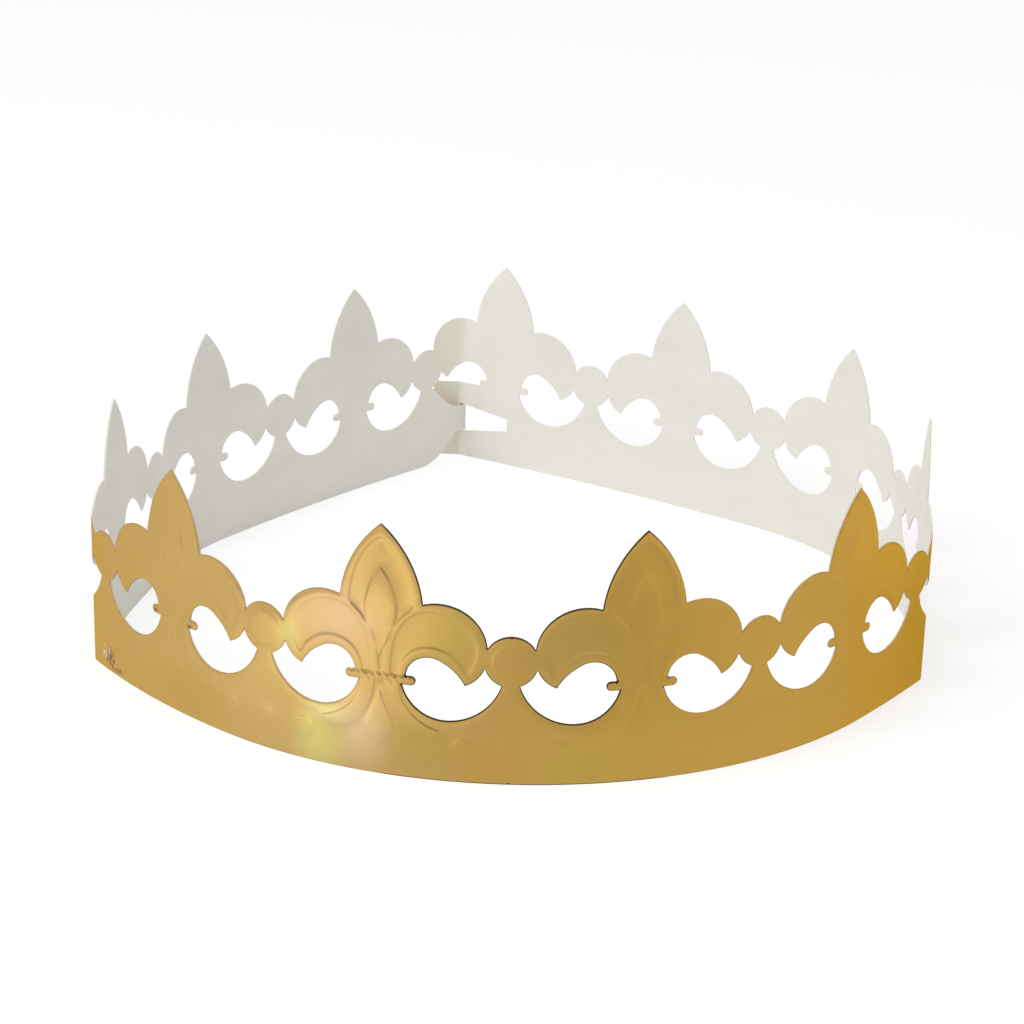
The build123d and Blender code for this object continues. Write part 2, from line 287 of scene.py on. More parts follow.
def lobe_underedge():
    """From the knob's top round the hole's roof to the lobe's tip and up to the bead."""
    return (line((KNOB[0], KNOB_TOP), WAIST_TOP)
            + arc(HOLE, HOLE_RADIUS, angle_on(HOLE, WAIST_TOP), CURL_ANGLE)
            + arc_through(CURL, LOBE_UNDERSIDE, LOBE_TIP)
            + arc_through(LOBE_TIP, LOBE_LOWER_EDGE, LOWER_NOTCH))


def crescent():
    """The hole beside a fleur's waist, as a closed loop."""
    corner = (HALF - NECK / 2, NECK_Z)
    waist = (WAIST, KNOB_LOW)
    return (arc(BEAD, BEAD_RADIUS, angle_on(BEAD, LOWER_NOTCH), angle_on(BEAD, corner))
            + arc_through(corner, level_bowl(HOLE_BOTTOM, corner), HOLE_BOTTOM)
            + arc_through(HOLE_BOTTOM, level_bowl(HOLE_BOTTOM, waist), waist)
            + line(waist, (KNOB[0], KNOB_LOW))
            + arc(KNOB, KNOB_RADIUS, -90, 90, KNOB_STEP)
            + lobe_underedge())


def top_edge():
    """From the bead's top to the petal's tip."""
    return (arc(BEAD, BEAD_RADIUS, 90, angle_on(BEAD, UPPER_NOTCH))
            + arc(LOBE, LOBE_RADIUS, angle_on(LOBE, UPPER_NOTCH), NOTCH_ANGLE)
            + arc_through(NOTCH, PETAL_SIDE, PETAL_TIP))


def mirrored(points):
    """The same loop or run on the other side of the axis, in reversed order."""
    return [(-x, z) for x, z in reversed(points)]


def plain_side():
    """Right side of a fleur's panel: along the bottom, up the seam at the bead, and over to the tip."""
    return line((0, 0), (HALF, 0)) + line((HALF, 0), BEAD_TOP) + top_edge()


def tongue_side():
    """The first fleur's closure side, drawn as if on its right: sweeps up from the floor to the tongue."""
    root_low = (FIRST_FLEUR - LOWER_LEVEL, TONGUE_LOW)
    root_high = (FIRST_FLEUR - UPPER_LEVEL, TONGUE_HIGH)
    bend_x = FIRST_FLEUR - BEND_BEGINS
    flap_x = bend_x + BEND_LENGTH
    tip_x = flap_x + TONGUE_LENGTH
    tip_low, tip_high = (tip_x, WINDOW_Z - TONGUE_TIP / 2), (tip_x, WINDOW_Z + TONGUE_TIP / 2)
    outer_corner = (HALF + NECK / 2, NECK_Z)
    return (line((0, 0), (FIRST_FLEUR - END_SWEEP, 0))
            + bezier((FIRST_FLEUR - END_SWEEP, 0), *LOWER_SWEEP, root_low)
            + line(root_low, (bend_x, TONGUE_LOW))
            + line((bend_x, TONGUE_LOW), (flap_x, TONGUE_LOW), FOLD_STEP)
            + line((flap_x, TONGUE_LOW), tip_low)
            + line(tip_low, tip_high)
            + line(tip_high, (flap_x, TONGUE_HIGH))
            + line((flap_x, TONGUE_HIGH), (bend_x, TONGUE_HIGH), FOLD_STEP)
            + line((bend_x, TONGUE_HIGH), root_high)
            + bezier(root_high, *UPPER_SWEEP, outer_corner)
            + arc(BEAD, BEAD_RADIUS, angle_on(BEAD, outer_corner), 90)
            + top_edge())


def tab_side():
    """The last fleur's closure side: the level window end with its tab, and the free lobe above it."""
    knob_x = KNOB[0] + math.sqrt(KNOB_RADIUS ** 2 - (KNOB_Z - TAB_HEIGHT) ** 2)
    knob_meets = (knob_x, TAB_HEIGHT)
    return (line((0, 0), (TAB_END, 0)) + line((TAB_END, 0), (TAB_END, TAB_HEIGHT))
            + line((TAB_END, TAB_HEIGHT), knob_meets)
            + arc(KNOB, KNOB_RADIUS, angle_on(KNOB, knob_meets), 90, KNOB_STEP)
            + lobe_underedge()
            + arc(LOBE, LOBE_RADIUS, angle_on(LOBE, LOWER_NOTCH), NOTCH_ANGLE)
            + arc_through(NOTCH, PETAL_SIDE, PETAL_TIP))


def window():
    """The slot that the tongue goes through, beside the last fleur."""
    near_low, near_high = WINDOW_Z - WINDOW_NEAR_HEIGHT / 2, WINDOW_Z + WINDOW_NEAR_HEIGHT / 2
    far_low, far_high = WINDOW_Z - WINDOW_FAR_HEIGHT / 2, WINDOW_Z + WINDOW_FAR_HEIGHT / 2
    corners = [(WINDOW_NEAR, near_low), (WINDOW_FAR, far_low),
               (WINDOW_FAR, far_high), (WINDOW_NEAR, near_high)]
    return [p for a, b in zip(corners, corners[1:] + corners[:1]) for p in line(a, b)]


# Embossing: closed shapes on the right half of a fleur. A shape on the axis is closed by its mirror image.

def rounded(points):
    """Smooth run through listed points."""
    points = [np.array(p, float) for p in points]
    padded = [2 * points[0] - points[1]] + points + [2 * points[-1] - points[-2]]
    run = []
    for a, b, c, d in zip(padded, padded[1:], padded[2:], padded[3:]):
        count = max(2, round(np.linalg.norm(c - b) / LINE_STEP))
        for i in range(count):
            t = i / count
            run.append(0.5 * (2 * b + (c - a) * t + (2 * a - 5 * b + 4 * c - d) * t * t
                              + (3 * b - a - 3 * c + d) * t ** 3))
    return run + [points[-1]]


PETAL_FIELD = [(0, 51.0), (1.6, 49.9), (3.8, 47.2), (5.4, 43.8), (6.3, 40.3), (6.5, 36.8),
               (4.2, 34.3), (2.0, 31.2), (0.8, 28.0), (0, 22.6)]
PETAL_LEAF = [(0, 44.6), (1.6, 42.2), (2.65, 39.6), (3.3, 36.6),
              (3.1, 33.6), (2.0, 30.9), (0.9, 28.2), (0, 25.6)]
LOBE_FIELD = [(2.1, 21.4), (2.3, 26.0), (3.2, 30.4), (5.0, 33.6), (7.2, 35.5), (10.2, 36.3), (13.6, 35.8),
              (16.6, 34.2), (18.8, 31.6), (19.7, 28.6), (19.0, 25.6), (17.6, 23.6), (16.2, 25.8),
              (13.4, 28.0), (10.2, 28.7), (7.2, 28.0), (5.0, 26.0), (4.0, 23.6), (3.7, 21.3), (2.9, 21.0)]
LOWER_LEAF = [(0.8, 21.0), (1.8, 16.2), (3.4, 12.8), (5.4, 10.3), (8.0, 9.1), (10.8, 9.3), (12.6, 10.6),
              (10.2, 11.6), (8.0, 12.9), (6.0, 14.9), (4.5, 17.6), (3.9, 21.0), (2.3, 21.4)]
TAIL = [(0, 18.4), (0.7, 16.4), (1.9, 13.6), (2.9, 11.2), (2.9, 9.4), (1.9, 7.8), (0, 6.7)]
BAND_DOMES = ((17.0, 7.2), (HALF, 7.2))
DOME_RADIUS = 2.3
BEAD_FIELD = 3.85
ROPE_PITCH, ROPE_SLANT, ROPE_BASE, ROPE_TWIST = 1.55, 0.55, 0.04, 0.16

# Where rows of points follow a shape's slope, in shares of its width
SLOPE_ROWS = (-0.55, -0.2, 0.2, 0.55)


def closed_loop(points, on_axis):
    """Smooth closed loop, mirrored over the axis where the shape sits on it."""
    if on_axis:
        half = rounded(points)
        return np.array(half + [(-x, z) for x, z in reversed(half[1:-1])])
    return np.array(rounded(list(points) + [points[0]])[:-1])


def ring_loop(centre, radius):
    return np.array(arc(centre, radius, 0, 360, LINE_STEP))


# Each shape: its loop, how far it stands above the sheet or below it, and the width of its slope
SHAPES = [
    (closed_loop(PETAL_FIELD, True), -0.21, 0.65),
    (closed_loop(PETAL_LEAF, True), 0.26, 0.7),
    (closed_loop(LOBE_FIELD, False), -0.17, 0.7),
    (closed_loop(LOWER_LEAF, False), 0.2, 0.7),
    (closed_loop(TAIL, True), 0.2, 0.7),
    (ring_loop(BEAD, BEAD_FIELD), 0.17, 0.7),
]
SHAPES += [(ring_loop(centre, DOME_RADIUS), 0.2, 0.9) for centre in BAND_DOMES]


def gaps(points, starts, ends):
    """Distance of points from the nearest of many straight runs."""
    edge = ends - starts
    rel = points[:, None, :] - starts[None]
    t = np.clip((rel * edge).sum(2) / (edge * edge).sum(1), 0, 1)
    return np.sqrt(((rel - t[..., None] * edge) ** 2).sum(2)).min(1)


def distances(points, loop):
    """Signed distance of points from a closed loop, positive inside."""
    a, b = loop, np.roll(loop, -1, axis=0)
    above = (a[:, 1] > points[:, None, 1]) != (b[:, 1] > points[:, None, 1])
    rise = np.where(b[:, 1] == a[:, 1], 1e-9, b[:, 1] - a[:, 1])
    crossing = a[:, 0] + (points[:, None, 1] - a[:, 1]) * (b[:, 0] - a[:, 0]) / rise
    inside = (above & (points[:, None, 0] < crossing)).sum(1) % 2 == 1
    gap = gaps(points, a, b)
    return np.where(inside, gap, -gap)


def smooth(t):
    t = np.clip(t, 0, 1)
    return t * t * (3 - 2 * t)


# How deep each fleur is pressed, in the strip's order, as a share of the shapes' heights
PRESS = (0.8, 0.8, 0.8, 0.7, 1.2, 0.5, 0.35, 0.7, 0.8, 0.8, 0.8)


def relief(points, axis):
    """Height of the embossing at flat points beside a fleur's axis."""
    folded = points.copy()
    folded[:, 0] = abs(folded[:, 0])
    height = np.zeros(len(points))
    for loop, level, slope in SHAPES:
        height += level * smooth(distances(folded, loop) / slope + 0.5)
    across = smooth((KNOB_END - 0.5 - folded[:, 0]) / 0.8) * smooth((1.0 - abs(points[:, 1] - KNOB_Z)) / 0.5)
    twist = abs(np.cos(math.pi * (points[:, 0] + ROPE_SLANT * (points[:, 1] - KNOB_Z)) / ROPE_PITCH))
    height = height * (1 - across) + across * (ROPE_BASE + ROPE_TWIST * twist)
    return height * np.interp(axis + points[:, 0], FIRST_FLEUR + PITCH * np.arange(FLEURS), PRESS)


def outward(loop):
    """Unit vectors square to a loop at its points."""
    tangent = np.roll(loop, -1, axis=0) - np.roll(loop, 1, axis=0)
    tangent /= np.linalg.norm(tangent, axis=1)[:, None]
    return np.stack([tangent[:, 1], -tangent[:, 0]], 1)


def clear_of_tie(row):
    """The parts of a run that stay off the tie, whose twist has its own points."""
    keep = (abs(row[:, 1] - KNOB_Z) > KNOB_RADIUS + 0.2) | (abs(row[:, 0]) > KNOB_END)
    breaks = np.flatnonzero(np.diff(keep.astype(int))) + 1
    return [part for part, kept in zip(np.split(row, breaks), np.split(keep, breaks)) if kept[0]]


def emboss_rows():
    """Runs of flat points that follow the shapes' slopes, on both halves."""
    rows = []
    for loop, _, slope in SHAPES:
        for offset in SLOPE_ROWS:
            row = loop + outward(loop) * offset * slope
            rows += clear_of_tie(row) + clear_of_tie(row * [-1, 1])
    for z in np.arange(KNOB_LOW + 0.1, KNOB_TOP, 0.35):
        rows.append(np.array([(x, z) for x in np.arange(-KNOB_END + 0.4, KNOB_END - 0.3, 0.26)]))
    return rows


EMBOSS_ROWS = emboss_rows()


# The sheet: each fleur's panel is triangulated flat, then bent into place

class Sheet:
    """Gathers the strip's vertices and faces. A vertex is known by its place on the flat strip."""

    def __init__(self):
        self.points, self.flat, self.rims, self.lookup, self.faces = [], [], [], {}, []

    def vertex(self, distance, z, height, layer, rim=0.0):
        key = (round(distance, 3), round(z, 3), layer)
        if key not in self.lookup:
            depth = CARD if layer == "board" else -height
            x, y = bent(distance, z, depth)
            self.lookup[key] = len(self.points)
            self.points.append((x, y, z))
            self.flat.append((distance, z))
            self.rims.append(rim)
        return self.lookup[key]

    def face(self, corners, slot):
        if len(set(corners)) > 2:
            self.faces.append((corners, slot))


def triangles(loops, extra_points, extra_rows):
    """Triangles that fill the first loop less the others, with extra points and rows inside."""
    points, edges = [], []
    for loop in loops:
        first = len(points)
        points += [tuple(p) for p in loop]
        edges += [(first + i, first + (i + 1) % len(loop)) for i in range(len(loop))]
    for row, kept in extra_rows:
        previous = None
        for point, keep in zip(row, kept):
            if keep:
                points.append(tuple(point))
                if previous is not None:
                    edges.append((previous, len(points) - 1))
                previous = len(points) - 1
            else:
                previous = None
    points += [tuple(p) for p in extra_points]
    found, _, faces, *_ = delaunay_2d_cdt([Vector(p) for p in points], edges, [], 0, 1e-5)
    found = np.array([tuple(p) for p in found])
    faces = np.array(faces)
    centres = found[faces].mean(1)
    keep = distances(centres, np.array(loops[0])) > 0
    for loop in loops[1:]:
        keep &= distances(centres, np.array(loop)) < 0
    return found, faces[keep]


def depth_inside(points, loops):
    """How far points lie inside the card, away from its outline and holes."""
    inside = distances(points, np.array(loops[0]))
    for loop in loops[1:]:
        inside = np.minimum(inside, -distances(points, np.array(loop)))
    return inside


def on_seam(start, end):
    """Whether a run lies on the seam to the next fleur, where nothing is cut."""
    return abs(abs(start[0]) - HALF) < 1e-6 and abs(start[0] - end[0]) < 1e-6


def cut_runs(loops):
    """Starts and ends of the straight runs that the die cut, without the seams between fleurs."""
    runs = [(a, b) for loop in loops for a, b in zip(loop, loop[1:] + loop[:1]) if not on_seam(a, b)]
    return np.array([a for a, _ in runs]), np.array([b for _, b in runs])


def rim_points(loops):
    """Points where the foil starts to roll over towards the cut edge."""
    found = []
    for loop in loops:
        loop = np.array(loop)
        for side in (-1, 1):
            found.append(loop + side * RIM * outward(loop))
    found = np.concatenate(found)
    return found[depth_inside(found, loops) > 0.85 * RIM]


def grid(spacing, low, high):
    """Staggered grid of flat points."""
    rows = []
    for k, z in enumerate(np.arange(low[1], high[1], spacing * 0.866)):
        shift = spacing / 2 if k % 2 else 0
        rows += [(x, z) for x in np.arange(low[0] + shift, high[0], spacing)]
    return np.array(rows)


def panel_loops(index):
    """A fleur's outline and its two holes, flat, beside its own axis."""
    right = tab_side() if index == FLEURS - 1 else plain_side()
    left = tongue_side() if index == 0 else plain_side()
    outline = right + [PETAL_TIP] + mirrored(left[1:])
    hole = crescent()
    right_hole = window() if index == FLEURS - 1 else hole
    return [outline, right_hole, [(-x, z) for x, z in hole]]


def fold_rows(index, axis, low, high):
    """Rows of flat points along the creases, and over the bend of the tongue."""
    top = TAB_HEIGHT if index == FLEURS - 1 else high[1]
    rows = []
    for crease in (LEFT_CREASE, RIGHT_CREASE, CREASE_AT_TAB):
        if low[0] < crease - axis < high[0] - 0.5:
            for offset in CREASE_ROWS:
                rows.append(np.array([(crease - axis + offset, z) for z in np.arange(0.5, top, 1.0)]))
    if index == 0:
        bend = [(BEND_BEGINS - FIRST_FLEUR - run, z) for run in np.linspace(0, BEND_LENGTH, 9)
                for z in np.arange(TONGUE_LOW + 0.8, TONGUE_HIGH - 0.5, 0.9)]
        rows.append(np.array(bend))
    return rows


def fill(loops, layer, spacing, rows):
    """Flat triangles of one layer: its rows of points, and a grid that stays clear of them."""
    low, high = np.array(loops[0]).min(0), np.array(loops[0]).max(0)
    points = grid(spacing, low, high)
    points = points[depth_inside(points, loops) > 0.35 * spacing]
    if rows:
        near = np.concatenate(rows)
        points = points[[np.hypot(*(near - p).T).min() > 0.45 * spacing for p in points]]
    if layer == "foil":
        points = np.concatenate([points, rim_points(loops)])
    kept_rows = [(row, depth_inside(row, loops) > 1.7 * RIM) for row in rows]
    return triangles(loops, points, kept_rows)


def add_face(sheet, axis, loops, layer, spacing, rows, slot):
    """One layer of a panel, bent into place, facing outwards on its own side."""
    points, faces = fill(loops, layer, spacing, rows)
    at_edge = gaps(points, *cut_runs(loops)) < 0.2 * RIM
    heights = relief(points, axis) - ROLL * at_edge
    numbers = [sheet.vertex(axis + x, z, height, layer, float(edge))
               for (x, z), height, edge in zip(points, heights, at_edge)]
    for a, b, c in faces:
        (ax, az), (bx, bz), (cx, cz) = points[a], points[b], points[c]
        anticlockwise = (bx - ax) * (cz - az) - (cx - ax) * (bz - az) > 0
        order = (a, b, c) if anticlockwise == (layer == "foil") else (a, c, b)
        sheet.face([numbers[i] for i in order], slot)


def add_cut_walls(sheet, axis, loops, slot):
    """The cut edges between the two layers, round the outline and the holes."""
    for loop in loops:
        area = sum(a[0] * b[1] - b[0] * a[1] for a, b in zip(loop, loop[1:] + loop[:1]))
        run = loop if (area > 0) == (loop is loops[0]) else loop[::-1]
        for start, end in zip(run, run[1:] + run[:1]):
            if on_seam(start, end):
                continue
            corners = ((start, "foil"), (start, "board"), (end, "board"), (end, "foil"))
            sheet.face([sheet.vertex(axis + x, z, 0, layer) for (x, z), layer in corners], slot)


def add_panel(sheet, index):
    axis = FIRST_FLEUR + index * PITCH
    loops = panel_loops(index)
    folds = fold_rows(index, axis, np.array(loops[0]).min(0), np.array(loops[0]).max(0))
    add_face(sheet, axis, loops, "foil", FACE_GRID, EMBOSS_ROWS + folds, 0)
    add_face(sheet, axis, loops, "board", BACK_GRID, folds, 1)
    add_cut_walls(sheet, axis, loops, 2)


def make_strip():
    """The crown's one piece of card, with foil outside, board inside and its cut edges between."""
    sheet = Sheet()
    for index in range(FLEURS):
        add_panel(sheet, index)
    points = np.array(sheet.points)
    centre = (points.min(0) + points.max(0)) / 2
    points[:, :2] -= centre[:2]
    mesh = bpy.data.meshes.new("crown_card")
    mesh.from_pydata((points * MM).tolist(), [], [corners for corners, _ in sheet.faces])
    mesh.polygons.foreach_set("material_index", [slot for _, slot in sheet.faces])
    flat = mesh.uv_layers.new(name="flat")
    for corner in mesh.loops:
        distance, z = sheet.flat[corner.vertex_index]
        flat.data[corner.index].uv = (distance / FLAT_SPAN, z / FLAT_SPAN)
    mesh.attributes.new("rim", "FLOAT", "POINT").data.foreach_set("value", sheet.rims)
    mesh.validate()
    strip = bpy.data.objects.new("crown_card", mesh)
    bpy.context.scene.collection.objects.link(strip)
    bpy.ops.object.select_all(action="DESELECT")
    strip.select_set(True)
    bpy.context.view_layer.objects.active = strip
    bpy.ops.object.shade_smooth_by_angle(angle=math.radians(50))
    return strip, centre


# Shader maths

class Sock:
    """A socket that joins in Python expressions."""
    tree = None

    def __init__(self, socket):
        self.socket = socket

    @classmethod
    def node(cls, kind, settings=None, out=0, **inputs):
        """A node's output. Inputs go by name, or by number as i0, i1. Settings are set first."""
        node = cls.tree.nodes.new(kind)
        for name, value in (settings or {}).items():
            if name == "stops":
                ramp = node.color_ramp
                while len(ramp.elements) < len(value):
                    ramp.elements.new(0.5)
                for element, (place, colour) in zip(ramp.elements, value):
                    element.position, element.color = place, colour
            else:
                setattr(node, name, value)
        for name, value in inputs.items():
            target = node.inputs[int(name[1:])] if name[1:].isdigit() else node.inputs[name.replace("_", " ")]
            if isinstance(value, Sock):
                cls.tree.links.new(value.socket, target)
            else:
                target.default_value = value
        return None if out is None else Sock(node.outputs[out])

    def maths(self, operation, other=0.0):
        return Sock.node("ShaderNodeMath", {"operation": operation}, i0=self, i1=other)

    def __add__(self, other):
        return self.maths("ADD", other)

    __radd__ = __add__

    def __mul__(self, other):
        return self.maths("MULTIPLY", other)

    __rmul__ = __mul__

    def __sub__(self, other):
        return self.maths("SUBTRACT", other)

    def __rsub__(self, other):
        return self.maths("MULTIPLY", -1.0) + other

    def clamped(self):
        return Sock.node("ShaderNodeClamp", Value=self)

    def ramp(self, low, high):
        """Rises smoothly from 0 at the low value to 1 at the high one."""
        return Sock.node("ShaderNodeMapRange", {"interpolation_type": "SMOOTHSTEP"},
                         Value=self, From_Min=low, From_Max=high)


def mix(share, first, second):
    """Colour between two, by a share."""
    return Sock.node("ShaderNodeMix", {"data_type": "RGBA"}, out=2, i0=share, i6=first, i7=second)


def linear(red, green, blue):
    """Colour given as it shows on a screen, 0 to 255."""
    shares = [c / 255 for c in (red, green, blue)]
    return tuple(c / 12.92 if c < 0.04045 else ((c + 0.055) / 1.055) ** 2.4 for c in shares) + (1.0,)


def new_finish(name):
    """A material with one surface shader, and that shader."""
    material = bpy.data.materials.new(name)
    material.use_nodes = True
    Sock.tree = material.node_tree
    material.node_tree.nodes.clear()
    surface = material.node_tree.nodes.new("ShaderNodeBsdfPrincipled")
    output = material.node_tree.nodes.new("ShaderNodeOutputMaterial")
    material.node_tree.links.new(surface.outputs[0], output.inputs["Surface"])
    return material, surface


def feed(surface, **inputs):
    """Sets or links the surface shader's sockets."""
    for name, value in inputs.items():
        socket = surface.inputs[name.replace("_", " ")]
        if isinstance(value, Sock):
            Sock.tree.links.new(value.socket, socket)
        else:
            socket.default_value = value


def flat_place():
    """Place on the flat strip: the vector, and its distance and height in millimetres."""
    vector = Sock.node("ShaderNodeUVMap", {"uv_map": "flat"})
    apart = Sock.tree.nodes.new("ShaderNodeSeparateXYZ")
    Sock.tree.links.new(vector.socket, apart.inputs[0])
    return vector, Sock(apart.outputs[0]) * FLAT_SPAN, Sock(apart.outputs[1]) * FLAT_SPAN


def spot_mask(distance, height, at, reach, soft):
    """Soft oval: 1 in its middle, 0 outside, with the soft share of its reach between."""
    across = (distance - at[0]) * (1 / reach[0])
    up = (height - at[1]) * (1 / reach[1])
    span = (across * across + up * up).maths("SQRT")
    return 1 - span.ramp(1 - soft, 1.0)


def grain(vector, along_strip, up, detail=2.0):
    """Noise whose marks have the given length along the strip and height, in millimetres."""
    scale = (FLAT_SPAN / along_strip, FLAT_SPAN / up, 1)
    stretched = Sock.node("ShaderNodeMapping", Vector=vector, Scale=scale)
    return Sock.node("ShaderNodeTexNoise", Vector=stretched, Scale=1.0, Detail=detail, Roughness=0.5)


def fleur(index, across):
    """Distance on the strip at a place beside a fleur's axis."""
    return FIRST_FLEUR + index * PITCH + across


# The first three front fleurs from the left, by their number on the strip
F1, F2, F3 = 3, 4, 5

# The foil's gold along the front panel, with the hue drifts of its reflections painted in: share of the way,
# and colour
FOIL_START, FOIL_SPAN = fleur(F1, -50), 250
FOIL_GOLD_AND_REFLECTION_HUES = (
    (0.0, (200, 162, 84)),
    (0.1, (203, 168, 106)),
    (0.2, (208, 173, 105)),
    (0.37, (208, 173, 108)),
    (0.46, (207, 171, 98)),
    (0.6, (208, 168, 80)),
    (0.75, (212, 168, 82)),
    (0.9, (210, 163, 70)),
    (0.96, (200, 154, 62)),
    (1.0, (204, 162, 80)),
)

# Painted reflections on the foil: lighter, darker and tinted patches standing in for what it mirrors, each
# over the ones before it: place along and up, reach, colour and share
FOIL_PAINTED_REFLECTIONS = (
    ((fleur(F2, -13.2), 4.5), (9.0, 13.0), (228, 220, 130), 0.72),
    ((fleur(F2, -11.0), 11.5), (7.0, 3.5), (232, 222, 160), 0.6),
    ((fleur(F2, -4.0), 8.0), (9.0, 13.0), (244, 212, 168), 0.66),
    ((fleur(F2, -9.0), 32.0), (14.0, 12.0), (214, 178, 138), 0.7),
    ((fleur(F1, 5.0), 5.0), (24.0, 10.0), (196, 160, 84), 0.7),
    ((fleur(F2, -20.5), 25.5), (4.5, 11.0), (220, 208, 130), 0.5),
    ((fleur(F2, 9.0), 8.0), (10.0, 9.0), (198, 172, 80), 0.5),
    ((fleur(F2, 15.0), 31.0), (12.0, 12.0), (196, 168, 82), 0.6),
    ((fleur(F3, -13.0), 29.0), (13.0, 12.0), (204, 172, 96), 0.5),
    ((fleur(F3, -13.0), 3.0), (15.0, 10.0), (200, 176, 84), 0.5),
    ((fleur(F2, 24.0), 4.0), (14.0, 9.0), (214, 160, 78), 0.5),
)
LINEN_HEIGHT, WAVE_HEIGHT = 0.000004, 0.00016


def painted_dark_stretch(distance):
    """From the second front fleur to the third, where the cut edge gets painted shade and the foil's rolled
    rim its darkest painted reflection.
    """
    return (distance - fleur(F2, -1)).ramp(0.0, 3.0) * (1 - (distance - fleur(F3, 2)).ramp(0.0, 6.0))


def gold_foil():
    material, surface = new_finish("gold_foil")
    vector, distance, height = flat_place()
    # Gold along the front panel, partly painted reflection hues
    stops = [(share, linear(*colour)) for share, colour in FOIL_GOLD_AND_REFLECTION_HUES]
    tone = Sock.node("ShaderNodeValToRGB", {"stops": stops}, Fac=(distance - FOIL_START) * (1 / FOIL_SPAN))
    # Painted reflections: lighter, darker and tinted patches over the gold
    for place, reach, colour, share in FOIL_PAINTED_REFLECTIONS:
        tone = mix(spot_mask(distance, height, place, reach, 1.0) * share, tone, linear(*colour))
    cloud = grain(vector, 22.0, 14.0, 3.0).ramp(0.3, 0.7)
    tone = mix(cloud * 0.16, tone, linear(186, 146, 70))
    streak = grain(vector, 9.0, 0.5, 1.0).ramp(0.35, 0.75)
    tone = mix(streak * 0.06, tone, linear(222, 186, 112))
    # Painted dark reflection along the foil's rolled rim all round, strongest between the second and third
    # front fleurs
    rim = Sock.node("ShaderNodeAttribute", {"attribute_name": "rim"}, out=2)
    tone = mix(rim.ramp(0.0, 0.65) * (0.22 + painted_dark_stretch(distance) * 0.78), tone, linear(44, 26, 12))
    scuff, mark = corner_scuff(vector, distance, height)
    tone = mix(scuff, tone, linear(214, 208, 200))
    tone = mix(mark, tone, linear(120, 84, 40))
    worn = (scuff + mark).clamped()
    linen = grain(vector, 0.5, 0.5, 1.0)
    waves = grain(vector, 34.0, 20.0, 1.0)
    normal = Sock.node("ShaderNodeBump", Strength=1.0, Distance=1.0,
                       Height=linen * LINEN_HEIGHT + waves * WAVE_HEIGHT)
    feed(surface, Base_Color=tone, Metallic=1 - worn * 0.9, Roughness=0.15 + cloud * 0.06 + worn * 0.4,
         Specular_Tint=(0.93, 0.74, 0.42, 1), Normal=normal)
    return material


def corner_scuff(vector, distance, height):
    """Where the front left corner was rubbed: bare pale flecks, and brown marks beside them."""
    flecks = grain(vector, 1.1, 1.4, 3.0)
    near_fold = spot_mask(distance, height, (fleur(F1, -26.4), 3.8), (3.6, 3.6), 0.8)
    rubbed = (near_fold + flecks.ramp(0.35, 0.65) - 1.25).ramp(0.0, 0.3)
    marks = spot_mask(distance, height, (fleur(F1, -24.8), 3.0), (3.4, 4.2), 0.8)
    smear = spot_mask(distance, height, (fleur(F1, -21.6), 1.3), (3.4, 1.1), 0.8)
    streaks = grain(vector, 0.7, 1.5, 4.0).ramp(0.35, 0.65)
    brown = (marks.maths("MAXIMUM", smear) + streaks - 1.05).ramp(0.0, 0.45)
    left_nick = spot_mask(distance, height, (fleur(F1, -6.2), 21.0), (1.0, 0.7), 0.7)
    right_nick = spot_mask(distance, height, (fleur(F1, 5.2), 20.6), (1.0, 0.7), 0.7)
    return rubbed * 0.9, (brown + left_nick + right_nick).clamped() * 0.85


def board():
    material, surface = new_finish("board")
    vector, distance, height = flat_place()
    fibre = grain(vector, 1.6, 0.7, 3.0)
    mottle = grain(vector, 16.0, 11.0, 3.0).ramp(0.3, 0.7)
    tone = mix(mottle, linear(232, 230, 221), linear(236, 234, 226))
    tone = mix(fibre.ramp(0.45, 0.8) * 0.3, tone, linear(220, 217, 206))
    # Painted shade along the creases, widest at the tab's fold
    for fold, reach in ((CREASE_AT_TAB, 3.5), (LEFT_CREASE, 1.5), (RIGHT_CREASE, 1.5)):
        near = (distance - fold).maths("ABSOLUTE").ramp(0.0, reach)
        tone = mix((1 - near) * 0.4, tone, linear(196, 192, 178))
    # Painted shade on the tab past its fold, where it bends away
    tone = mix((distance - CREASE_AT_TAB).ramp(-1.0, 3.0) * 0.45, tone, linear(200, 197, 182))
    normal = Sock.node("ShaderNodeBump", Strength=1.0, Distance=1.0, Height=fibre * 0.000008)
    feed(surface, Base_Color=tone, Roughness=0.82, Normal=normal)
    return material


def cut_edge():
    material, surface = new_finish("cut_edge")
    vector, distance, height = flat_place()
    front = (distance - LEFT_CREASE).ramp(-4.0, 4.0) * (1 - (distance - RIGHT_CREASE).ramp(-4.0, 4.0))
    plies = grain(vector, 0.8, 0.8, 2.0).ramp(0.3, 0.7)
    tone = mix(plies, linear(226, 221, 206), linear(236, 232, 220))
    tone = mix(front * (0.35 + plies * 0.4), tone, linear(176, 134, 74))
    # Painted shade: the cut edge darkened between the second and third front fleurs
    tone = mix(painted_dark_stretch(distance) * 0.9, tone, linear(52, 32, 16))
    feed(surface, Base_Color=tone, Roughness=0.75)
    return material


# Camera and light

VIEW_CENTRE = (0.25, 98.8)
VIEW_TURN = -0.19
VIEW_ELEVATION = 20.52
VIEW_ROLL = 1.475
VIEW_DISTANCE = 690.6
FOCAL_PIXELS, IMAGE_PIXELS, SENSOR = 2722, 1024, 36.0
SKY_LEVEL = 0.71
KEY_WATTS, FILL_WATTS = 10.4, 1.5
BEHIND_CAMERA = (0.05, -0.93, 0.36)
FLOOR_SIZE, FLOOR_GAP = 6, 0.00005
FLOOR_GLOW = 0.71
FLOOR_WHITE, FLOOR_SEEN = (0.82, 0.82, 0.82, 1), (0.34, 0.34, 0.34, 1)

